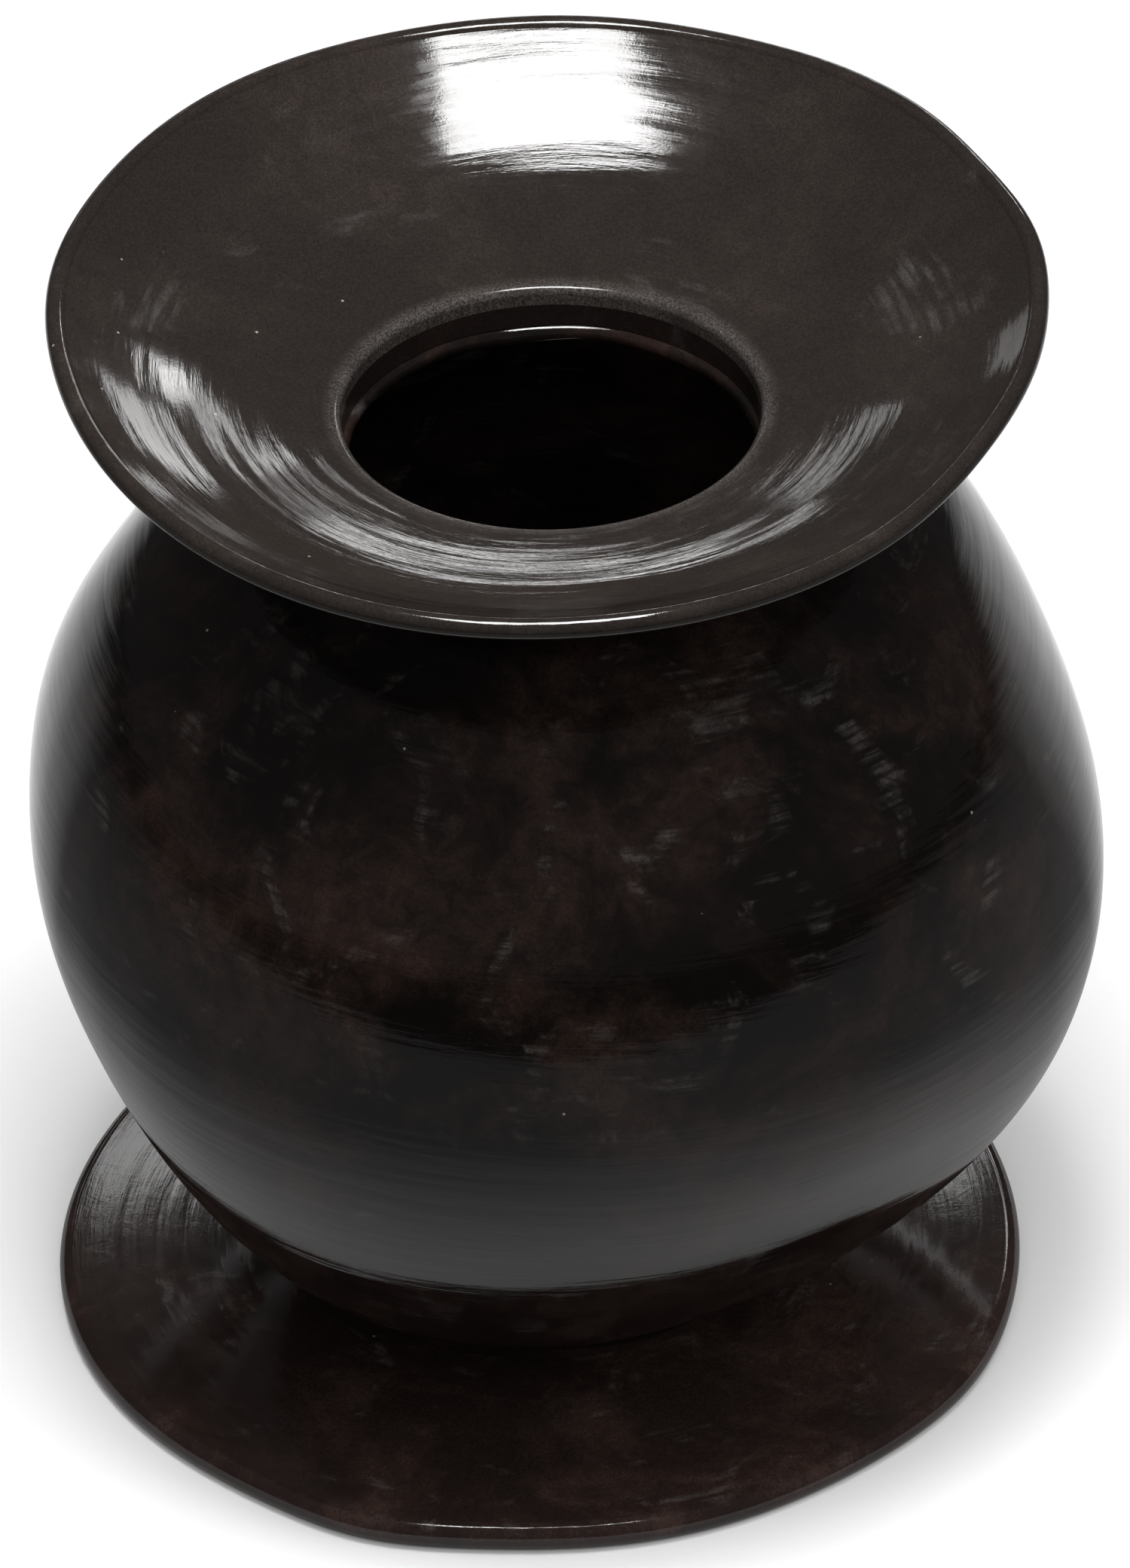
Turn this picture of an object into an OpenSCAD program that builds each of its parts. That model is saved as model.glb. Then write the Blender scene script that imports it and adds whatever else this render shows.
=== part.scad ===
// Barro negro pot: a round coil-built body on a disc foot, with a wide dish around its mouth.
// Each clay member is its own solid, and neighbours meet face to face at luted joints.
// Z is up, millimetres, origin on the ground under the centre of the body.

/* [Body] */
// Outer radius of the round body
body_r = 186; // [178:1:192]
// Height of the body's centre above the ground
body_z = 192; // [189:1:196]
// Thickness of the body's wall
body_wall = 7; // [6:0.5:9]
// Outer radius of the flatter curve that closes the top of the body
crown_r = 107; // [103:1:111]

/* [Body joints] */
// Angle below the body's centre where the bottom bowl ends
bowl_joint = 54; // [50:1:56]
// Angle below the body's centre where the lower wall band ends
wall_joint = 34; // [28:1:40]
// Angle below the body's centre where the lower belly band ends
belly_joint = 15; // [8:1:20]
// Angle above the body's centre where the upper belly band ends
girth_joint = 4; // [0:1:10]
// Angle above the body's centre where the lower shoulder band ends
shoulder_joint = 22; // [18:1:28]
// Angle above the body's centre where the upper shoulder band ends and the crown begins
crown_joint = 40; // [38:1:42]
// Angle around the crown's own centre where the lower crown band ends
mouth_joint = 62; // [56:1:70]
// Bevel of the joints across the wall, measured from a square joint
scarf = 45; // [20:5:60]

/* [Foot] */
// Radius of the disc foot to the outside of its edge coil
disc_r = 171; // [165:1:178]
// Thickness of the disc foot
disc_t = 10.5; // [9:0.5:12]
// How far the disc sits off the body's axis, to the left
disc_shift = 11; // [0:1:14]
// Width of the edge coil on the disc's upper side
edge_w = 12; // [10:1:18]
// Radius of the concave fillet between the body and the disc
foot_cove = 4; // [4:0.5:8]
// Inner radius of the fillet coil under the body
foot_in = 50; // [48:1:56]

/* [Mouth] */
// Radius of the mouth through the dish and the collar
mouth_r = 71.5; // [70:0.5:74]
// Height of the dish at the mouth, at the middle of its wall
mouth_z = 361; // [360:0.5:364]
// Rounding of the dish's inner edge
mouth_round = 3; // [2.5:0.5:5]
// How far the body's own edge stands in from the mouth
lip_in = 2; // [0:0.5:4]
// Radius of the concave outside of the neck collar
neck_cove = 7; // [6:0.5:8]

/* [Dish] */
// Radius of the dish to the outside of its rim coil
rim_r = 170; // [164:1:176]
// Height of the rim coil's centre
rim_z = 400; // [396:1:404]
// Thickness of the dish's wall
dish_wall = 6.5; // [5:0.5:7]
// Radius of the dish's upward curve, at the middle of its wall
dish_curve = 200; // [180:5:260]
// Distance from the axis at which the dish's two bands meet
dish_joint = 120; // [105:1:135]
// Radius of the rim coil
coil_r = 3.6; // [3.6:0.1:4.5]

/* [Hidden] */
$fn = 144;

clay_dark = [0.10, 0.085, 0.08];
clay_body = [0.13, 0.11, 0.10];
clay_warm = [0.17, 0.145, 0.13];

reach = 2 * body_r;                       // well beyond the outside of the wall
skin = 1;                                 // how far a joint's line runs past each side of the wall
scarf_angle = body_wall * tan(scarf) / body_r * 90 / PI;
crown_scarf_angle = scarf_angle * body_r / crown_r;

body_c = [0, body_z];
crown_c = point(body_c, body_r - crown_r, crown_joint);

// Middle of the body's rounded mouth edge, on the middle of the crown's wall
edge_x = mouth_r - lip_in + body_wall / 2;
edge_c = [edge_x, crown_c.y + leg(crown_r - body_wall / 2, edge_x - crown_c.x)];

// The dish's curve runs through the mouth and the rim coil, bulging downwards
mouth_p = [mouth_r, mouth_z];
rim_p = [rim_r - coil_r, rim_z];
chord = rim_p - mouth_p;
dish_c = (mouth_p + rim_p) / 2
    + leg(dish_curve, norm(chord) / 2) * [-chord.y, chord.x] / norm(chord);
dish_over = dish_curve - dish_wall / 2;   // radius of the dish's upper side
dish_under = dish_curve + dish_wall / 2;  // radius of the dish's underside
rim_angle = atan2(rim_p.y - dish_c.y, rim_p.x - dish_c.x);
dish_joint_angle = -acos((dish_joint - dish_c.x) / dish_curve);

// Circle that rounds the dish's inner edge: it touches the mouth and the dish's upper side
round_x = mouth_r + mouth_round;
round_c = [round_x, dish_c.y - leg(dish_over + mouth_round, round_x - dish_c.x)];
round_end = round_c + mouth_round * unit(dish_c - round_c);

// Circle of the foot's fillet: it touches the body and the disc
foot_c = [leg(body_r + foot_cove, body_z - disc_t - foot_cove), disc_t + foot_cove];

// Circle of the collar's outside: it touches the crown and the dish's underside
neck_c = meet(crown_c, crown_r + neck_cove, dish_c, dish_under + neck_cove);

function leg(long, short) = sqrt(long * long - short * short);
function unit(v) = v / norm(v);
function point(c, r, a) = c + r * [cos(a), sin(a)];

// The outer one of the two points at distance ra from a and rb from b, where b is above a
function meet(a, ra, b, rb) =
    let (d = norm(b - a), along = (ra * ra - rb * rb + d * d) / (2 * d), ab = unit(b - a))
    a + along * ab + leg(ra, along) * [ab.y, -ab.x];

// A joint's ends inside and outside the wall, at this angle from the body's centre
function seam_in(a) = point(body_c, body_r - body_wall - skin, a - scarf_angle);
function seam_out(a) = point(body_c, body_r + skin, a + scarf_angle);

module turn() rotate_extrude($fn = 240) children();

module disc_at(c, r) translate(c) circle(r);

module ring_at(c, r, wall) {
    difference() {
        disc_at(c, r);
        disc_at(c, r - wall);
    }
}

// Region from the body's centre outwards, between two angles
module wedge(low, high)
    polygon([body_c, point(body_c, reach, low), point(body_c, reach, high)]);

// Region between two bevelled joints
module band_region(low, high)
    polygon([body_c, seam_in(low), seam_out(low), point(body_c, reach, low + scarf_angle),
             point(body_c, reach, high + scarf_angle), seam_out(high), seam_in(high)]);

// Half section of the body's whole wall, flat underneath, with a rounded mouth edge
module body_wall_section() {
    intersection() {
        union() {
            difference() {
                ring_at(body_c, body_r, body_wall);
                wedge(crown_joint, 120);
            }
            difference() {
                intersection() {
                    ring_at(crown_c, crown_r, body_wall);
                    wedge(crown_joint, 90);
                }
                square([edge_x, 2 * reach]);
            }
            disc_at(edge_c, body_wall / 2);
        }
        translate([0, disc_t]) square([reach, 2 * reach]);
    }
}

// Region above the crown's own bevelled joint
module mouth_region()
    polygon([crown_c, point(crown_c, crown_r - body_wall - skin, mouth_joint - crown_scarf_angle),
             point(crown_c, crown_r + skin, mouth_joint + crown_scarf_angle),
             point(crown_c, reach, mouth_joint + crown_scarf_angle), point(crown_c, reach, 120)]);

module body_band(low, high) {
    turn() intersection() {
        body_wall_section();
        band_region(low, high);
    }
}

module crown_section() {
    intersection() {
        body_wall_section();
        band_region(crown_joint, 90);
    }
}

// Half section of the disc foot's slab, bevelled where the edge coil laps under it
module slab_section()
    polygon([[0, 0], [disc_r - edge_w - disc_t / 2, 0],
             [disc_r - edge_w, disc_t / 2], [disc_r - edge_w, disc_t], [0, disc_t]]);

// Half section of the edge coil: round outside, flat above and below
module edge_section() {
    difference() {
        union() {
            translate([disc_r - edge_w - disc_t / 2, 0]) square([edge_w, disc_t]);
            disc_at([disc_r - disc_t / 2, disc_t / 2], disc_t / 2);
        }
        slab_section();
    }
}

module base_disc() {
    color(clay_dark) translate([-disc_shift, 0, 0]) turn() slab_section();
}

module base_edge_coil() {
    color(clay_body) translate([-disc_shift, 0, 0]) turn() edge_section();
}

module foot_ring() {
    color(clay_warm) turn() difference() {
        polygon([[foot_in, disc_t], [foot_c.x, disc_t], foot_c,
                 body_c + body_r * unit(foot_c - body_c), [foot_in, foot_c.y]]);
        disc_at(foot_c, foot_cove);
        disc_at(body_c, body_r);
    }
}

module bottom_bowl() {
    color(clay_body) body_band(-100, -bowl_joint);
}

module lower_wall_band() {
    color(clay_dark) body_band(-bowl_joint, -wall_joint);
}

module lower_belly_band() {
    color(clay_body) body_band(-wall_joint, -belly_joint);
}

module upper_belly_band() {
    color(clay_dark) body_band(-belly_joint, girth_joint);
}

module lower_shoulder_band() {
    color(clay_body) body_band(girth_joint, shoulder_joint);
}

module upper_shoulder_band() {
    color(clay_dark) body_band(shoulder_joint, crown_joint);
}

module lower_crown_band() {
    color(clay_body) turn() difference() {
        crown_section();
        mouth_region();
    }
}

module upper_crown_band() {
    color(clay_dark) turn() intersection() {
        crown_section();
        mouth_region();
    }
}

module neck_collar() {
    color(clay_warm) turn() difference() {
        polygon([[mouth_r, crown_c.y + crown_r - neck_cove],
                 crown_c + crown_r * unit(neck_c - crown_c), neck_c,
                 dish_c + dish_under * unit(neck_c - dish_c), [mouth_r, mouth_z]]);
        disc_at(neck_c, neck_cove);
        disc_at(crown_c, crown_r);
        disc_at(dish_c, dish_under);
    }
}

// Half section of the whole dish, with a rounded inner edge and a seat for the rim coil
module dish_section() {
    difference() {
        intersection() {
            ring_at(dish_c, dish_under, dish_wall);
            translate([mouth_r, 0]) square([rim_r, 2 * reach]);
        }
        disc_at(rim_p, coil_r);
        difference() {
            polygon([round_c - [2 * mouth_round, 0], round_c, round_end,
                     round_end + [0, mouth_round], round_c + mouth_round * [-2, 2]]);
            disc_at(round_c, mouth_round);
        }
    }
}

module dish_band(low, high) {
    turn() intersection() {
        dish_section();
        polygon([dish_c, point(dish_c, 2 * dish_curve, low), point(dish_c, 2 * dish_curve, high)]);
    }
}

module inner_dish_band() {
    color(clay_warm) dish_band(-90, dish_joint_angle);
}

module outer_dish_band() {
    color(clay_body) dish_band(dish_joint_angle, rim_angle);
}

module rim_coil() {
    color(clay_dark) turn() disc_at(rim_p, coil_r);
}

base_disc();
base_edge_coil();
foot_ring();
bottom_bowl();
lower_wall_band();
lower_belly_band();
upper_belly_band();
lower_shoulder_band();
upper_shoulder_band();
lower_crown_band();
upper_crown_band();
neck_collar();
inner_dish_band();
outer_dish_band();
rim_coil();
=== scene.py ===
"""Barro negro pot: hand-formed, stone-burnished clay members in place of the CAD pieces."""
import math

import bpy
import numpy as np
from mathutils import Matrix, Quaternion, Vector


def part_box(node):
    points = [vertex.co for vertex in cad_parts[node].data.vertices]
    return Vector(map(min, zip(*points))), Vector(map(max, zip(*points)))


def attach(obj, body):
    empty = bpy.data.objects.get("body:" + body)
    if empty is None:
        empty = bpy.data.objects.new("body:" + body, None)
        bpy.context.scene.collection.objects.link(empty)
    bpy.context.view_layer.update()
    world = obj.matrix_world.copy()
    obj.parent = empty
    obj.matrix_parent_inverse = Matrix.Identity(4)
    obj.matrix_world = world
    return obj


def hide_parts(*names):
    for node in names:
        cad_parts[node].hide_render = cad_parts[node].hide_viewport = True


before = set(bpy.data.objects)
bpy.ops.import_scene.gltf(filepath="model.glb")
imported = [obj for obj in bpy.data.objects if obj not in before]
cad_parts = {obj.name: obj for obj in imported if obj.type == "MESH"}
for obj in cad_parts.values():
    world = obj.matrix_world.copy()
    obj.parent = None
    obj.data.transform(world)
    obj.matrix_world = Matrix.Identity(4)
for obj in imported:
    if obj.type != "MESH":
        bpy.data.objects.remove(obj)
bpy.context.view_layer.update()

MM = 0.001

# ---------------------------------------------------------------- sizes, from the frame

belly_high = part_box("upper_belly_band")[1]
edge_low, edge_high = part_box("base_edge_coil")
rim_low, rim_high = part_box("rim_coil")

BODY_R = belly_high.x
BODY_Z = 192 * MM
BODY_C = (0.0, BODY_Z)
WALL = 7 * MM
CROWN_R = 107 * MM
DISC_X = (edge_low.x + edge_high.x) / 2
DISC_R = (edge_high.x - edge_low.x) / 2
DISC_T = edge_high.z
EDGE_W = 12 * MM
FOOT_COVE = 4 * MM
FOOT_IN = 50 * MM
MOUTH_R = 71.5 * MM
MOUTH_Z = 361 * MM
MOUTH_ROUND = 3 * MM
LIP_IN = 2 * MM
NECK_COVE = 7 * MM
COIL_R = (rim_high.z - rim_low.z) / 2
RIM_R = rim_high.x
RIM_Z = (rim_high.z + rim_low.z) / 2
DISH_WALL = 6.5 * MM
DISH_CURVE = 200 * MM
DISH_JOINT = 120 * MM

# Joints between the bands of the body, as angles from its centre, and their bevel
BOWL_JOINT, WALL_JOINT, BELLY_JOINT = -54.0, -34.0, -15.0
GIRTH_JOINT, SHOULDER_JOINT, CROWN_JOINT = 4.0, 22.0, 40.0
MOUTH_JOINT = 62.0     # around the crown's own centre
BEVEL = math.degrees(WALL / 2 / BODY_R)
CROWN_BEVEL = math.degrees(WALL / 2 / CROWN_R)

# Mesh density: segments round the pot, and steps along its section
SEGMENTS = 640
FINE, COARSE = 1.9 * MM, 4.5 * MM
LIP_STEP, ROUND_STEP, COVE_STEP, INNER_STEP = 0.6 * MM, 0.7 * MM, 0.8 * MM, 1.5 * MM
SUPPORT = 0.15 * MM


# ---------------------------------------------------------------- section outlines

def leg(long, short):
    return math.sqrt(long * long - short * short)


def point(centre, radius, angle):
    a = math.radians(angle)
    return np.array([centre[0] + radius * math.cos(a), centre[1] + radius * math.sin(a)])


def unit(v):
    return np.array(v) / np.linalg.norm(v)


def angle_of(centre, p):
    return math.degrees(math.atan2(p[1] - centre[1], p[0] - centre[0]))


def steps(length, step):
    """Places from 0 to 1 along a stretch, with a support row close to each end."""
    inner = np.linspace(0, 1, max(3, int(length / step) + 1))[1:-1]
    close = min(SUPPORT / length, 0.1)
    return np.concatenate([[0, close], inner, [1 - close, 1]])


def arc(centre, radius, start, end, step=FINE):
    a = start + (end - start) * steps(abs(math.radians(end - start)) * radius, step)
    return np.array([point(centre, radius, x) for x in a])


def straight(a, b, step=COARSE):
    a, b = np.array(a, float), np.array(b, float)
    return a + (b - a) * steps(np.linalg.norm(b - a), step)[:, None]


CROWN_C = tuple(point(BODY_C, BODY_R - CROWN_R, CROWN_JOINT))
LIP_X = MOUTH_R - LIP_IN + WALL / 2
LIP_C = (LIP_X, CROWN_C[1] + leg(CROWN_R - WALL / 2, LIP_X - CROWN_C[0]))

mouth_p = np.array([MOUTH_R, MOUTH_Z])
rim_p = np.array([RIM_R - COIL_R, RIM_Z])
chord = rim_p - mouth_p
across = np.array([-chord[1], chord[0]]) / np.linalg.norm(chord)
DISH_C = (mouth_p + rim_p) / 2 + leg(DISH_CURVE, np.linalg.norm(chord) / 2) * across
DISH_OVER = DISH_CURVE - DISH_WALL / 2
DISH_UNDER = DISH_CURVE + DISH_WALL / 2


def wall_point(angle, depth):
    """A point of the body's wall: on the round body, or on the crown's tighter curve above it."""
    if angle <= CROWN_JOINT:
        return point(BODY_C, BODY_R - depth, angle)
    turn = (angle - CROWN_JOINT) * (BODY_R - depth) / (CROWN_R - depth)
    return point(CROWN_C, CROWN_R - depth, CROWN_JOINT + turn)


def wall_stretch(start, end, depth, step):
    """The wall's points between two angles, at one depth below the outer skin."""
    a = start + (end - start) * steps(abs(math.radians(end - start)) * BODY_R, step)
    return np.array([wall_point(x, depth) for x in a])


def band_outline(low, high):
    """One coil-built band: its joints lean across the wall."""
    outer = wall_stretch(low + BEVEL, high + BEVEL, 0, FINE)
    inner = wall_stretch(high - BEVEL, low - BEVEL, WALL, COARSE)
    return [outer, straight(outer[-1], inner[0]), inner, straight(inner[-1], outer[0])]


def bowl_outline():
    """The closed bowl at the bottom, flat where it stands on the slab."""
    seat = leg(BODY_R, BODY_Z - DISC_T)
    start = angle_of(BODY_C, (seat, DISC_T))
    outer = wall_stretch(start, BOWL_JOINT + BEVEL, 0, FINE)
    inner = wall_stretch(BOWL_JOINT - BEVEL, -90, WALL, COARSE)
    return [straight((0, DISC_T), outer[0]), outer, straight(outer[-1], inner[0]), inner]


def crown_turn(angle, depth):
    """The wall angle that belongs to an angle around the crown's own centre."""
    return CROWN_JOINT + (angle - CROWN_JOINT) * (CROWN_R - depth) / (BODY_R - depth)


def lower_crown_outline():
    """Like the other bands, with its upper joint bevelled around the crown's own centre."""
    joint_over = crown_turn(MOUTH_JOINT + CROWN_BEVEL, 0)
    joint_under = crown_turn(MOUTH_JOINT - CROWN_BEVEL, WALL)
    outer = wall_stretch(CROWN_JOINT + BEVEL, joint_over, 0, FINE)
    inner = wall_stretch(joint_under, CROWN_JOINT - BEVEL, WALL, COARSE)
    return [outer, straight(outer[-1], inner[0]), inner, straight(inner[-1], outer[0])]


def upper_crown_outline():
    """From the crown's joint to the body's own rounded mouth edge, and back inside."""
    top = angle_of(CROWN_C, LIP_C)
    joint_over = crown_turn(MOUTH_JOINT + CROWN_BEVEL, 0)
    joint_under = crown_turn(MOUTH_JOINT - CROWN_BEVEL, WALL)
    outer = wall_stretch(joint_over, crown_turn(top, 0), 0, FINE)
    lip = arc(LIP_C, WALL / 2, top, top + 180, LIP_STEP)
    inner = wall_stretch(crown_turn(top, WALL), joint_under, WALL, COARSE)
    skin = np.concatenate([outer, lip[2:-2], inner])
    return [skin, straight(inner[-1], outer[0])]


def disc_outline():
    """A flat slab, bevelled below where the edge coil laps under it."""
    lap, half = DISC_R - EDGE_W, DISC_T / 2
    return [straight((0, 0), (lap - half, 0)),
            straight((lap - half, 0), (lap, half)),
            straight((lap, half), (lap, DISC_T)),
            straight((lap, DISC_T), (0, DISC_T), FINE)]


def edge_outline():
    """A coil with a round nose, lapped under the slab."""
    lap, half = DISC_R - EDGE_W, DISC_T / 2
    nose = arc((DISC_R - half, half), half, -90, 90, ROUND_STEP)
    skin = np.concatenate([nose[:-1], straight((DISC_R - half, DISC_T), (lap, DISC_T), FINE)])
    return [straight((lap - half, 0), (DISC_R - half, 0)),
            skin,
            straight((lap, DISC_T), (lap, half)),
            straight((lap, half), (lap - half, 0))]


def foot_outline():
    """A coved fillet between the slab and the round body."""
    cove = (leg(BODY_R + FOOT_COVE, BODY_Z - DISC_T - FOOT_COVE), DISC_T + FOOT_COVE)
    touch = angle_of(BODY_C, cove)
    inside = angle_of(BODY_C, (FOOT_IN, BODY_Z - leg(BODY_R, FOOT_IN)))
    curve = arc(cove, FOOT_COVE, 270, touch + 180, COVE_STEP)
    seat = arc(BODY_C, BODY_R, touch, inside, COARSE)
    return [straight((FOOT_IN, DISC_T), (cove[0], DISC_T)),
            curve,
            seat,
            straight(seat[-1], (FOOT_IN, DISC_T))]


def collar_outline():
    """A short collar between the crown and the dish, coved outside and straight inside the mouth."""
    a, b = np.array(CROWN_C), np.array(DISH_C)
    ra, rb = CROWN_R + NECK_COVE, DISH_UNDER + NECK_COVE
    apart = np.linalg.norm(b - a)
    along = (ra * ra - rb * rb + apart * apart) / (2 * apart)
    ab = unit(b - a)
    cove = a + along * ab + leg(ra, along) * np.array([ab[1], -ab[0]])
    low, high = angle_of(CROWN_C, cove), angle_of(DISH_C, cove)
    foot = angle_of(CROWN_C, (MOUTH_R, CROWN_C[1] + leg(CROWN_R, MOUTH_R - CROWN_C[0])))
    head = angle_of(DISH_C, (MOUTH_R, DISH_C[1] - leg(DISH_UNDER, MOUTH_R - DISH_C[0])))
    seat = arc(CROWN_C, CROWN_R, foot, low, COARSE)
    curve = arc(cove, NECK_COVE, low + 180, high + 180, COVE_STEP)
    cap = arc(DISH_C, DISH_UNDER, high, head, COARSE)
    return [seat, curve, cap, straight(cap[-1], seat[0], INNER_STEP)]


def dish_angle(radius):
    """Where a distance from the axis lies on the dish's curve, as an angle at the curve's centre."""
    return -math.degrees(math.acos((radius - DISH_C[0]) / DISH_CURVE))


def inner_dish_outline():
    """From the mouth's rounded edge over the dish to its joint, and back underneath."""
    x = MOUTH_R + MOUTH_ROUND
    round_c = (x, DISH_C[1] - leg(DISH_OVER + MOUTH_ROUND, x - DISH_C[0]))
    joint = dish_angle(DISH_JOINT)
    over = arc(DISH_C, DISH_OVER, angle_of(DISH_C, round_c), joint)
    edge = arc(round_c, MOUTH_ROUND, 180, angle_of(round_c, DISH_C), LIP_STEP)
    mouth_foot = np.array([MOUTH_R, DISH_C[1] - leg(DISH_UNDER, MOUTH_R - DISH_C[0])])
    under = arc(DISH_C, DISH_UNDER, joint, angle_of(DISH_C, mouth_foot), COARSE / 1.5)
    skin = np.concatenate([straight(mouth_foot, edge[0], COVE_STEP)[:-2], edge[:-1], over])
    return [skin, straight(over[-1], under[0]), under]


def outer_dish_outline():
    """From the dish's joint to the rim coil's seat, and back underneath."""
    joint, rim_angle = dish_angle(DISH_JOINT), angle_of(DISH_C, rim_p)
    bite = math.degrees(math.asin(leg(COIL_R, DISH_WALL / 2) / DISH_CURVE))
    over = arc(DISH_C, DISH_OVER, joint, rim_angle - bite)
    under = arc(DISH_C, DISH_UNDER, rim_angle - bite, joint, COARSE / 1.5)
    seat_from, seat_to = angle_of(rim_p, over[-1]), angle_of(rim_p, under[0])
    if seat_to < seat_from:
        seat_to += 360
    seat = arc(rim_p, COIL_R, seat_from, seat_to, COVE_STEP)
    return [over, seat, under, straight(under[-1], over[0])]


def coil_outline():
    return [arc(tuple(rim_p), COIL_R, -90, 270, COVE_STEP)]


# ---------------------------------------------------------------- what the potter's hands leave

def ramp(x, low, high):
    t = np.clip((x - low) / (high - low), 0, 1)
    return t * t * (3 - 2 * t)


def waves(turn, along, seed, count, around, run, size):
    """A sum of cosine waves round the pot and along its section, the same on each run.

    around is the range of whole waves round the pot; run is the range of radians along the section,
    for each radian of height on the body and for each metre of radius elsewhere.
    """
    draw = np.random.default_rng(seed)
    total = np.zeros_like(turn)
    for _ in range(count):
        k, m = draw.integers(around[0], around[1] + 1), draw.uniform(*run) * draw.choice((-1, 1))
        total += size * draw.uniform(0.5, 1) * np.cos(k * turn + m * along + draw.uniform(0, 2 * math.pi))
    return total


# Swells and dents of the body: azimuth from +X, height angle, spread in degrees, millimetres outwards
BODY_MARKS = [(-52, -40, 26, -7.0), (0, -16, 24, 2.6), (180, -12, 22, -2.2), (180, 24, 20, 1.6),
              (0, 26, 20, -1.8), (-130, -44, 24, 2.4), (110, 5, 30, 1.5), (60, -30, 24, -2.0),
              (-16, -24, 18, 5.0), (-165, -26, 16, -5.0), (14, 16, 14, -4.5), (155, 32, 12, -5.0)]

# Flats and corners of the dish's rim and of the foot: azimuth, spread in degrees, millimetres outwards
RIM_MARKS = [(52, 9, 2.6), (14, 8, 2.0), (28, 9, -0.8), (38, 7, 1.5), (-8, 10, -1.0), (-25, 12, -4.5),
             (135, 16, 5.0), (168, 12, 1.2), (-175, 12, -1.2), (-100, 20, 1.0), (-40, 14, -1.2),
             (-150, 14, -0.8)]
FOOT_MARKS = [(-112, 8, 3.2), (-93, 12, -1.4), (-135, 14, -0.8), (-52, 14, -1.6), (-30, 10, 1.8),
              (10, 16, -1.2), (90, 20, 1.5), (150, 16, -1.5)]

# Unevenness of each part, as waves: seed, count, around, run, size
BODY_SWELLS = (3, 14, (2, 9), (1.0, 7.0), 0.16 * MM)
BODY_FACETS = (5, 16, (18, 46), (1.0, 5.0), 0.012 * MM)
RIM_WAVES = (7, 6, (2, 6), (0, 1), 0.35 * MM)
DISH_LIFT = (11, 6, (2, 7), (0, 10), 0.35 * MM)
DISH_RINGS = (13, 14, (1, 7), (250.0, 700.0), 0.011 * MM)
DISH_SWELLS = (17, 10, (2, 8), (30.0, 120.0), 0.05 * MM)
FOOT_WAVES = (19, 6, (2, 7), (0, 1), 0.3 * MM)
FOOT_SWELLS = (23, 12, (1, 6), (20.0, 90.0), 0.09 * MM)

DISH_TILT = 0.060      # how much higher the dish's back stands than its middle, per metre
EDGE_LIFT = 0.35 * MM  # how much thicker the foot's disc is near its edge

# Heights, or distances from the axis, over which each part's unevenness sets in or fades out
BODY_START, BODY_END = (10 * MM, 34 * MM), (338 * MM, 356 * MM)
DISH_START, TILT_REACH = (350 * MM, 364 * MM), (76 * MM, 168 * MM)
FOOT_END = (DISC_T, DISC_T + 8 * MM)
FOOT_REACH, EDGE_REACH = (95 * MM, DISC_R), (120 * MM, DISC_R - 4 * MM)
CLEAR_OF_RING = (88 * MM, 104 * MM)


def marks(turn, table):
    total = np.zeros_like(turn)
    for azimuth, spread, size in table:
        off = np.angle(np.exp(1j * (turn - math.radians(azimuth))))
        total += size * MM * np.exp(-0.5 * (np.degrees(off) / spread) ** 2)
    return total


def by_hand(p):
    """Moves nominal points to where hand forming left them. One field, so that joints stay closed."""
    p = p.copy()
    x, y, z = p.T
    rho = np.maximum(np.hypot(x, y), 1e-6)
    turn = np.arctan2(y, x)
    height = np.arctan2(z - BODY_Z, rho)

    # Body: broad swells, uneven coils and faint upright facets
    in_body = ramp(z, *BODY_START) * (1 - ramp(z, *BODY_END))
    swell = np.zeros_like(x)
    for azimuth, rise, spread, size in BODY_MARKS:
        a, b = math.radians(azimuth), math.radians(rise)
        near = (np.cos(height) * np.cos(b) * np.cos(turn - a) + np.sin(height) * np.sin(b)).clip(-1, 1)
        swell += size * MM * np.exp(-0.5 * (np.degrees(np.arccos(near)) / spread) ** 2)
    swell += waves(turn, height, *BODY_SWELLS)
    swell += waves(turn, height, *BODY_FACETS) * np.cos(height)
    swell *= in_body
    p[:, 0] += swell * np.cos(height) * x / rho
    p[:, 1] += swell * np.cos(height) * y / rho
    p[:, 2] += swell * np.sin(height)

    # Dish: tilt, flats and corners of its rim, and rings left by burnishing round it
    in_dish = ramp(z, *DISH_START)
    out = ramp(rho, *TILT_REACH) * in_dish
    spread_out = (marks(turn, RIM_MARKS) + waves(turn, rho, *RIM_WAVES)) * out ** 2
    p[:, 0] += spread_out * x / rho
    p[:, 1] += spread_out * y / rho
    p[:, 2] += out * (DISH_TILT * y + waves(turn, rho, *DISH_LIFT))
    p[:, 2] += in_dish * waves(turn, rho, *DISH_RINGS)
    p[:, 2] += in_dish * waves(turn, rho, *DISH_SWELLS)

    # Foot: an uneven outline and an upper side that is not quite flat
    fx = x - DISC_X
    foot_rho = np.maximum(np.hypot(fx, y), 1e-6)
    foot_turn = np.arctan2(y, fx)
    low = 1 - ramp(z, *FOOT_END)
    outline = marks(foot_turn, FOOT_MARKS) + waves(foot_turn, rho, *FOOT_WAVES)
    outline *= ramp(foot_rho, *FOOT_REACH) * low
    p[:, 0] += outline * fx / foot_rho
    p[:, 1] += outline * y / foot_rho
    lift = waves(foot_turn, foot_rho, *FOOT_SWELLS)
    lift += EDGE_LIFT * ramp(foot_rho, *EDGE_REACH)
    p[:, 2] += lift * low * np.clip(z / DISC_T, 0, 1) * ramp(foot_rho, *CLEAR_OF_RING)
    return p


# ---------------------------------------------------------------- meshes

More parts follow.
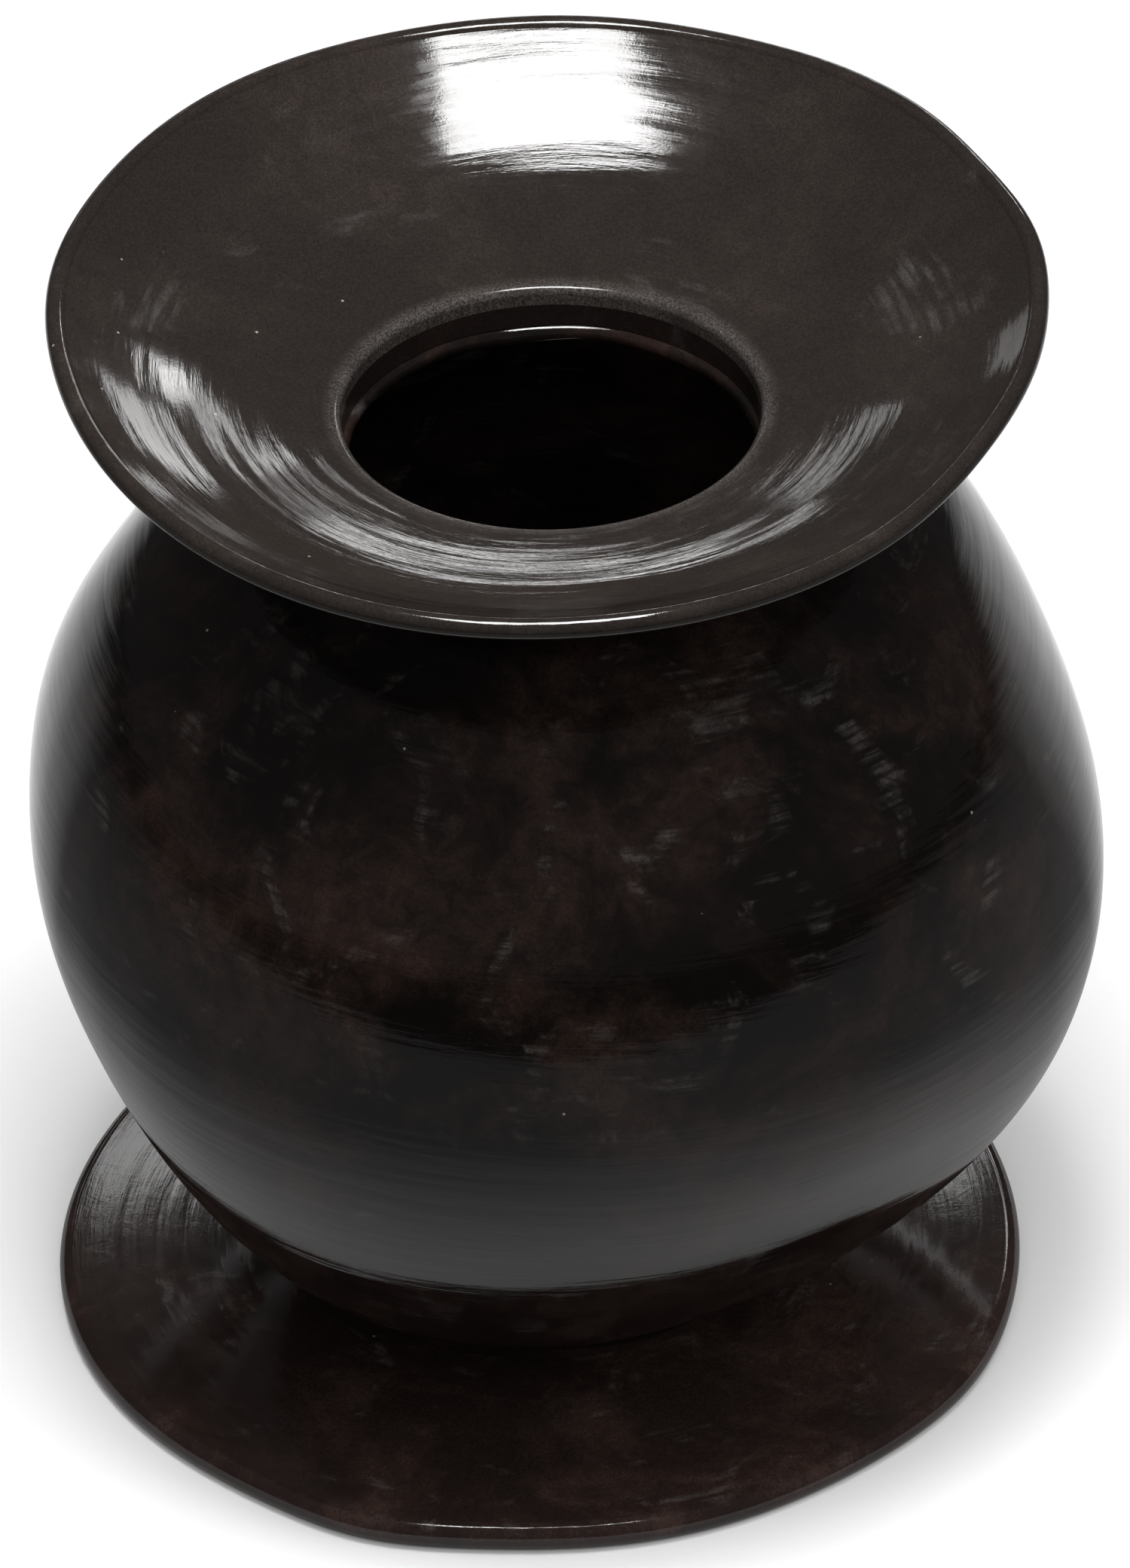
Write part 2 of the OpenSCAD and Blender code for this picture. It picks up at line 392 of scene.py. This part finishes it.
def turned(name, stretches, centre_x=0.0):
    """A solid of revolution about z, shaped by hand. Its edges are sharp where stretches meet."""
    on_axis = stretches[0][0][0] < 1e-9
    rows, corners = [], set()
    for s in stretches:
        corners.add(len(rows))
        rows.extend(s[:-1])
    if on_axis:
        rows.append(stretches[-1][-1])
    elif len(stretches) == 1:
        corners = set()
    rows = np.array(rows)
    count = len(rows)
    a = np.arange(SEGMENTS) * 2 * math.pi / SEGMENTS
    grid = np.empty((count, SEGMENTS, 3))
    grid[:, :, 0] = centre_x + rows[:, :1] * np.cos(a)
    grid[:, :, 1] = rows[:, :1] * np.sin(a)
    grid[:, :, 2] = rows[:, 1:2]
    index = np.arange(count * SEGMENTS).reshape(count, SEGMENTS)
    beyond = np.roll(index, -1, 1)
    if on_axis:
        quads = np.stack([index[1:-2], beyond[1:-2], beyond[2:-1], index[2:-1]], -1).reshape(-1, 4)
        first, last = index[0, 0], index[-1, 0]
        tris = np.concatenate([
            np.stack([np.full(SEGMENTS, first), beyond[1], index[1]], -1),
            np.stack([np.full(SEGMENTS, last), index[-2], beyond[-2]], -1)])
    else:
        after, after_beyond = np.roll(index, -1, 0), np.roll(beyond, -1, 0)
        quads = np.stack([index, beyond, after_beyond, after], -1).reshape(-1, 4)
        tris = np.empty((0, 3), int)
    points = by_hand(grid.reshape(-1, 3))
    used = np.unique(np.concatenate([quads.ravel(), tris.ravel()]))
    renumber = np.full(len(points), -1)
    renumber[used] = np.arange(len(used))
    quads, tris = renumber[quads], renumber[tris]
    ring = used // SEGMENTS

    mesh = bpy.data.meshes.new(name)
    mesh.vertices.add(len(used))
    mesh.vertices.foreach_set("co", points[used].ravel())
    corners_of = np.concatenate([quads.ravel(), tris.ravel()])
    mesh.loops.add(len(corners_of))
    mesh.loops.foreach_set("vertex_index", corners_of)
    mesh.polygons.add(len(quads) + len(tris))
    starts = np.concatenate([np.arange(len(quads)) * 4, len(quads) * 4 + np.arange(len(tris)) * 3])
    mesh.polygons.foreach_set("loop_start", starts)
    mesh.update(calc_edges=True)
    mesh.polygons.foreach_set("use_smooth", np.ones(len(mesh.polygons), bool))
    ends = np.empty(len(mesh.edges) * 2, int)
    mesh.edges.foreach_get("vertices", ends)
    ends = ring[ends.reshape(-1, 2)]
    sharp_rings = np.array(sorted(corners), int)
    sharp = (ends[:, 0] == ends[:, 1]) & np.isin(ends[:, 0], sharp_rings)
    mesh.attributes.new("sharp_edge", "BOOLEAN", "EDGE").data.foreach_set("value", sharp)
    mesh.update()
    piece = bpy.data.objects.new(name, mesh)
    bpy.context.scene.collection.objects.link(piece)
    return piece


# ---------------------------------------------------------------- clay

class Shader:
    """Short ways to lay out one material's nodes."""

    def __init__(self, name):
        self.material = bpy.data.materials.new(name)
        self.material.use_nodes = True
        self.nodes = self.material.node_tree.nodes
        self.links = self.material.node_tree.links
        self.surface = self.nodes["Principled BSDF"]
        place = self.add("ShaderNodeSeparateXYZ", {0: self.add("ShaderNodeTexCoord").outputs["Object"]})
        self.x, self.y, self.z = place.outputs

    def add(self, kind, inputs=None, **settings):
        node = self.nodes.new(kind)
        for key, value in settings.items():
            setattr(node, key, value)
        for key, value in (inputs or {}).items():
            self.feed(node.inputs[key], value)
        return node

    def feed(self, socket, value):
        if isinstance(value, bpy.types.NodeSocket):
            self.links.new(value, socket)
        else:
            socket.default_value = value

    def calc(self, operation, *values):
        return self.add("ShaderNodeMath", dict(enumerate(values)), operation=operation).outputs[0]

    def vector(self, x, y, z):
        return self.add("ShaderNodeCombineXYZ", {0: x, 1: y, 2: z}).outputs[0]

    def noise(self, where, scale, detail=3.0, rough=0.5, distortion=0.0):
        return self.add("ShaderNodeTexNoise", {"Vector": where, "Scale": scale, "Detail": detail,
                                               "Roughness": rough, "Distortion": distortion}).outputs["Fac"]

    def span(self, value, low, high, to_low=0.0, to_high=1.0):
        return self.add("ShaderNodeMapRange", {"Value": value, "From Min": low, "From Max": high,
                                               "To Min": to_low, "To Max": to_high},
                        interpolation_type="SMOOTHSTEP").outputs[0]

    def blend(self, share, a, b):
        node = self.add("ShaderNodeMix", data_type="RGBA")
        for socket, value in ((node.inputs[0], share), (node.inputs[6], a), (node.inputs[7], b)):
            self.feed(socket, value)
        return node.outputs[2]

    def turn(self, centre_x=0.0):
        """Distance from the pot's axis, and the cosine and sine of the azimuth."""
        x = self.calc("SUBTRACT", self.x, centre_x)
        squares = self.calc("ADD", self.calc("MULTIPLY", x, x), self.calc("MULTIPLY", self.y, self.y))
        rho = self.calc("MAXIMUM", self.calc("SQRT", squares), 1 * MM)
        return rho, self.calc("DIVIDE", x, rho), self.calc("DIVIDE", self.y, rho)


def rgb(r, g, b):
    return (r, g, b, 1.0)


# Patterns of the clay: noise scales per metre, width and length of strokes, and depth of the relief
CLOUDS, PATCHES, VEILS, WEAR, GRAIN, GRIT, DUST = 14, 75, 30, 55, 1100, 1300, 62.0
FINE_STROKE, BROAD_STROKE = (3.0 * MM, 45 * MM), (9.0 * MM, 120 * MM)
STROKE_RHO = 130 * MM      # distance from the axis at which a stroke's length is true
BARE_EDGE = (79 * MM, 73 * MM)
RELIEF = 0.12 * MM
PORE_COLOUR, DUST_COLOUR = rgb(0.002, 0.002, 0.002), rgb(0.30, 0.28, 0.26)
BARE_COLOUR = rgb(0.085, 0.077, 0.071)


def strokes_level(s, across, long):
    """Coordinates that stretch a pattern round the body at one height: stroke width and length in metres."""
    rho, c, n = s.turn()
    rise = s.calc("ARCTAN2", s.calc("SUBTRACT", s.z, BODY_Z), rho)
    around = BODY_R / long
    # A slight climb, so that the strokes don't close into rings
    climb = s.calc("ADD", rise, s.calc("MULTIPLY", c, 0.05))
    return s.vector(s.calc("MULTIPLY", c, around), s.calc("MULTIPLY", n, around),
                    s.calc("MULTIPLY", climb, BODY_R / across))


def strokes_round(s, across, long, centre_x=0.0):
    """Coordinates that stretch a pattern round the axis: stroke width and length in metres."""
    rho, c, n = s.turn(centre_x)
    around = STROKE_RHO / long
    return s.vector(s.calc("MULTIPLY", c, around), s.calc("MULTIPLY", n, around),
                    s.calc("DIVIDE", rho, across))


def clay(name, strokes, dark, brown, smoke, gloss, cloud_size=1.0, ring=False):
    """Stone-burnished, smoke-fired clay: clouded colour, stroke marks, scuffs, grain and dust."""
    s = Shader(name)
    fine, broad = strokes(s, *FINE_STROKE), strokes(s, *BROAD_STROKE)
    where = s.vector(s.x, s.y, s.z)
    lines = s.noise(fine, 1.0, 4.0, 0.6)
    facets = s.noise(broad, 1.0, 2.0, 0.5)
    clouds = s.noise(where, CLOUDS / cloud_size, 6.0, 0.68, 0.4)
    patches = s.noise(where, PATCHES / cloud_size, 5.0, 0.7, 0.8)
    veils = s.noise(where, VEILS / cloud_size, 5.0, 0.62, 1.2)
    grain = s.noise(where, GRAIN, 2.0, 0.7)

    brown_share = s.calc("MULTIPLY", s.span(clouds, 0.40, 0.64), s.span(patches, 0.32, 0.68, 0.3, 1.0))
    colour = s.blend(brown_share, rgb(*dark), rgb(*brown))
    scuff = s.calc("MULTIPLY", s.span(veils, 0.54, 0.74), s.span(lines, 0.40, 0.66))
    colour = s.blend(s.calc("MULTIPLY", scuff, 0.8), colour, rgb(*smoke))
    colour = s.blend(s.span(grain, 0.30, 0.72, 0.45, 0.0), colour, PORE_COLOUR)
    cells = s.add("ShaderNodeTexVoronoi", {"Vector": where, "Scale": DUST})
    pick = s.add("ShaderNodeSeparateColor", {0: cells.outputs["Color"]}).outputs[0]
    dust = s.calc("MULTIPLY", s.span(cells.outputs["Distance"], 0.040, 0.025), s.span(pick, 0.60, 0.62))
    colour = s.blend(s.calc("MULTIPLY", dust, 0.8), colour, DUST_COLOUR)

    rough = s.calc("ADD", gloss, s.calc("MULTIPLY", s.span(clouds, 0.35, 0.7), 0.02))
    rough = s.calc("ADD", rough, s.calc("MULTIPLY", scuff, 0.16))
    rough = s.calc("ADD", rough, s.calc("MULTIPLY", s.span(lines, 0.3, 0.75), 0.025))
    height = s.calc("ADD", s.calc("MULTIPLY", lines, 0.7), s.calc("MULTIPLY", facets, 1.8))
    pits = s.calc("ADD", grain, s.calc("MULTIPLY", patches, 4.0))
    height = s.calc("ADD", height, s.calc("MULTIPLY", pits, 0.07))
    if ring:
        # The mouth's edge is hardly burnished: pale, grainy and dull
        rho, _, _ = s.turn()
        worn = s.span(s.noise(where, WEAR, 3.0), 0.15, 0.6, 0.3, 1.0)
        bare = s.calc("MULTIPLY", s.span(rho, *BARE_EDGE), worn)
        grit = s.noise(where, GRIT, 2.0, 0.7)
        pale = s.calc("MULTIPLY", bare, s.span(grit, 0.30, 0.80))
        colour = s.blend(pale, colour, BARE_COLOUR)
        rough = s.calc("ADD", rough, s.calc("MULTIPLY", bare, 0.08))
        height = s.calc("ADD", height, s.calc("MULTIPLY", s.calc("MULTIPLY", bare, grit), 0.15))
    bump = s.add("ShaderNodeBump", {"Strength": 1.0, "Distance": RELIEF, "Height": height})
    shader = s.surface
    s.feed(shader.inputs["Base Color"], colour)
    s.feed(shader.inputs["Roughness"], rough)
    s.feed(shader.inputs["Normal"], bump.outputs[0])
    shader.inputs["IOR"].default_value = 1.52
    shader.inputs["Coat Weight"].default_value = 0.35
    shader.inputs["Coat Roughness"].default_value = 0.04
    shader.inputs["Coat IOR"].default_value = 1.5
    s.feed(shader.inputs["Coat Normal"], bump.outputs[0])
    return s.material


def body_strokes(s, across, long):
    return strokes_level(s, across, long)


def dish_strokes(s, across, long):
    return strokes_round(s, across, long)


def foot_strokes(s, across, long):
    return strokes_round(s, across, long, DISC_X)


body_clay = clay("burnished_body_clay", body_strokes, (0.0052, 0.0040, 0.0036), (0.0335, 0.0192, 0.0152),
                 (0.095, 0.085, 0.079), 0.060)
dish_clay = clay("burnished_dish_clay", dish_strokes, (0.0195, 0.0155, 0.0138), (0.0310, 0.0240, 0.0205),
                 (0.060, 0.054, 0.050), 0.065, 1.4, ring=True)
foot_clay = clay("burnished_foot_clay", foot_strokes, (0.0240, 0.0150, 0.0130), (0.0620, 0.0370, 0.0300),
                 (0.110, 0.095, 0.088), 0.085, 0.8)
joint_clay = clay("smoothed_joint_clay", dish_strokes, (0.0120, 0.0085, 0.0075), (0.0200, 0.0130, 0.0110),
                  (0.035, 0.030, 0.028), 0.24)

PIECES = [
    ("base_disc", disc_outline(), DISC_X, foot_clay, "foot_clay"),
    ("base_edge_coil", edge_outline(), DISC_X, foot_clay, "foot_clay"),
    ("foot_ring", foot_outline(), 0.0, joint_clay, "joint_clay"),
    ("bottom_bowl", bowl_outline(), 0.0, body_clay, "body_clay"),
    ("lower_wall_band", band_outline(BOWL_JOINT, WALL_JOINT), 0.0, body_clay, "body_clay"),
    ("lower_belly_band", band_outline(WALL_JOINT, BELLY_JOINT), 0.0, body_clay, "body_clay"),
    ("upper_belly_band", band_outline(BELLY_JOINT, GIRTH_JOINT), 0.0, body_clay, "body_clay"),
    ("lower_shoulder_band", band_outline(GIRTH_JOINT, SHOULDER_JOINT), 0.0, body_clay, "body_clay"),
    ("upper_shoulder_band", band_outline(SHOULDER_JOINT, CROWN_JOINT), 0.0, body_clay, "body_clay"),
    ("lower_crown_band", lower_crown_outline(), 0.0, body_clay, "body_clay"),
    ("upper_crown_band", upper_crown_outline(), 0.0, body_clay, "body_clay"),
    ("neck_collar", collar_outline(), 0.0, joint_clay, "joint_clay"),
    ("inner_dish_band", inner_dish_outline(), 0.0, dish_clay, "dish_clay"),
    ("outer_dish_band", outer_dish_outline(), 0.0, dish_clay, "dish_clay"),
    ("rim_coil", coil_outline(), 0.0, dish_clay, "dish_clay"),
]
for node, outline, centre_x, material, slot in PIECES:
    piece = turned(node + "_clay", outline, centre_x)
    piece.data.materials.append(material)
    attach(piece, "root")
    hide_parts(node)


# ---------------------------------------------------------------- floor, light and camera

FLOOR_REACH = 14.0
WHITE_FRONT = -0.87    # in reflections the floor is painted dark from this far in front of the pot, standing for the end of the white sweep
FRONT_BLUR = 0.03
DISH_AIM = (0.0, 0.0, 0.38)


def make_floor():
    mesh = bpy.data.meshes.new("floor")
    r = FLOOR_REACH
    mesh.from_pydata([(-r, -r, 0), (r, -r, 0), (r, r, 0), (-r, r, 0)], [], [(0, 1, 2, 3)])
    floor = bpy.data.objects.new("floor", mesh)
    bpy.context.scene.collection.objects.link(floor)
    s = Shader("pale_floor")
    seen = s.add("ShaderNodeLightPath").outputs["Is Camera Ray"]
    rho, _, behind = s.turn()
    # In reflections the floor's colour is painted light: brightest close to the pot and behind it, and
    # painted dark in front
    close = s.span(rho, 0.46, 0.12, 0.10, 0.42)
    shade = s.calc("MAXIMUM", close, s.span(behind, 0.20, 1.0, 0.0, 0.80))
    front_edge = s.span(s.y, WHITE_FRONT, WHITE_FRONT + FRONT_BLUR, 0.05, 1.0)
    shade = s.calc("MULTIPLY", shade, front_edge)
    # Painted light and shade that the pot's reflections and bounce light see, from black to white
    reflected_painted_light = s.blend(shade, rgb(0.0, 0.0, 0.0), rgb(1.0, 1.0, 1.0))
    s.feed(s.surface.inputs["Base Color"], s.blend(seen, reflected_painted_light, rgb(0.97, 0.97, 0.97)))
    s.surface.inputs["Roughness"].default_value = 0.9
    s.surface.inputs["Specular IOR Level"].default_value = 0.0
    # Far from the pot the floor runs out into the white background
    far = s.calc("MULTIPLY", seen, s.span(rho, 0.7, 2.0))
    s.surface.inputs["Emission Color"].default_value = rgb(1.0, 1.0, 1.0)
    s.feed(s.surface.inputs["Emission Strength"], far)
    s.material.cycles.emission_sampling = "NONE"
    mesh.materials.append(s.material)


def softbox(name, place, aim, width, depth, radiance, spin=0.0, glossy=True):
    """A soft panel light. Its power follows from how bright it should look, per unit of area."""
    lamp = bpy.data.lights.new(name, "AREA")
    lamp.shape, lamp.size, lamp.size_y = "RECTANGLE", width, depth
    lamp.energy = radiance * math.pi * width * depth
    light = bpy.data.objects.new(name, lamp)
    facing = (Vector(aim) - Vector(place)).to_track_quat("-Z", "Y")
    light.rotation_euler = (facing @ Quaternion((0.0, 0.0, 1.0), math.radians(spin))).to_euler()
    light.location = place
    light.visible_camera = False
    light.visible_glossy = glossy
    bpy.context.scene.collection.objects.link(light)
    return light


def make_world():
    world = bpy.data.worlds.new("studio")
    bpy.context.scene.world = world
    world.use_nodes = True
    nodes, links = world.node_tree.nodes, world.node_tree.links
    background = nodes["Background"]
    seen = nodes.new("ShaderNodeLightPath")
    pick = nodes.new("ShaderNodeMix")
    pick.data_type = "RGBA"
    links.new(seen.outputs["Is Camera Ray"], pick.inputs[0])
    pick.inputs[6].default_value = rgb(0.042, 0.040, 0.040)
    pick.inputs[7].default_value = rgb(1.0, 1.0, 1.0)
    links.new(pick.outputs[2], background.inputs["Color"])


make_floor()
make_world()

# The window-like box overhead, then the strips behind the pot that its dish and foot reflect
softbox("overhead_softbox", (-0.02, -0.19, 1.80), (-0.02, -0.19, 0.0), 0.62, 0.46, 18.0, spin=6.0)
softbox("streak_tip", (0.60, 1.37, 1.02), DISH_AIM, 0.16, 0.08, 5.0, spin=-45.0)
softbox("streak_high", (0.43, 1.39, 1.00), DISH_AIM, 0.39, 0.07, 3.4, spin=-13.0)
softbox("streak_turn", (0.14, 1.40, 0.81), DISH_AIM, 0.39, 0.06, 1.1, spin=-52.0)
softbox("streak_low", (0.36, 1.40, 0.59), DISH_AIM, 0.58, 0.12, 3.0, spin=-46.0)
softbox("band_low", (0.02, 1.40, 0.44), DISH_AIM, 0.46, 0.04, 1.8)
softbox("band_high", (0.04, 1.40, 0.68), DISH_AIM, 0.26, 0.05, 3.4, spin=-35.0)
softbox("band_right", (-0.10, 1.40, 0.65), DISH_AIM, 0.18, 0.05, 2.2, spin=20.0)
softbox("back_high_left", (-0.27, 1.40, 0.91), DISH_AIM, 0.28, 0.06, 1.7, spin=35.0)
softbox("back_low_left", (-0.50, 1.38, 0.50), DISH_AIM, 0.62, 0.10, 0.6, spin=50.0)
softbox("foot_left", (-0.152, 0.348, 0.232), (-0.152, 0.073, 0.010), 0.055, 0.036, 2.8, spin=28.0)
softbox("foot_right", (0.130, 0.348, 0.232), (0.130, 0.073, 0.010), 0.045, 0.036, 2.8, spin=-28.0)

# Wide fills, which the glaze-like burnish doesn't reflect
softbox("overhead_fill", (0.0, 0.0, 2.2), (0.0, 0.0, 0.0), 1.8, 1.8, 3.5, glossy=False)
softbox("front_fill", (0.0, -2.4, 2.2), (0.0, -0.6, 0.0), 3.0, 2.0, 2.5, glossy=False)
softbox("right_fill", (2.6, -0.4, 1.8), (0.4, -0.2, 0.0), 1.6, 1.6, 2.8, glossy=False)

ELEVATION = math.radians(35.9)
ROLL = -0.0248         # radians, against a slightly tilted horizon
DISTANCE = 5.1
LENS, FAR_CLIP = 338.2, 60.0
AIM = Vector((0.0016, 0.0, 0.2057))

forward = Vector((0, math.cos(ELEVATION), -math.sin(ELEVATION)))
side = Vector((1, 0, 0))
up = side.cross(forward)
side, up = side * math.cos(ROLL) + up * math.sin(ROLL), up * math.cos(ROLL) - side * math.sin(ROLL)
lens = bpy.data.cameras.new("camera")
lens.lens = LENS
lens.clip_end = FAR_CLIP
camera = bpy.data.objects.new("camera", lens)
looking = Matrix((side, up, -forward)).transposed().to_4x4()
camera.matrix_world = Matrix.Translation(AIM - forward * DISTANCE) @ looking
bpy.context.scene.collection.objects.link(camera)
bpy.context.scene.camera = camera
bpy.context.scene.view_settings.view_transform = "Standard"
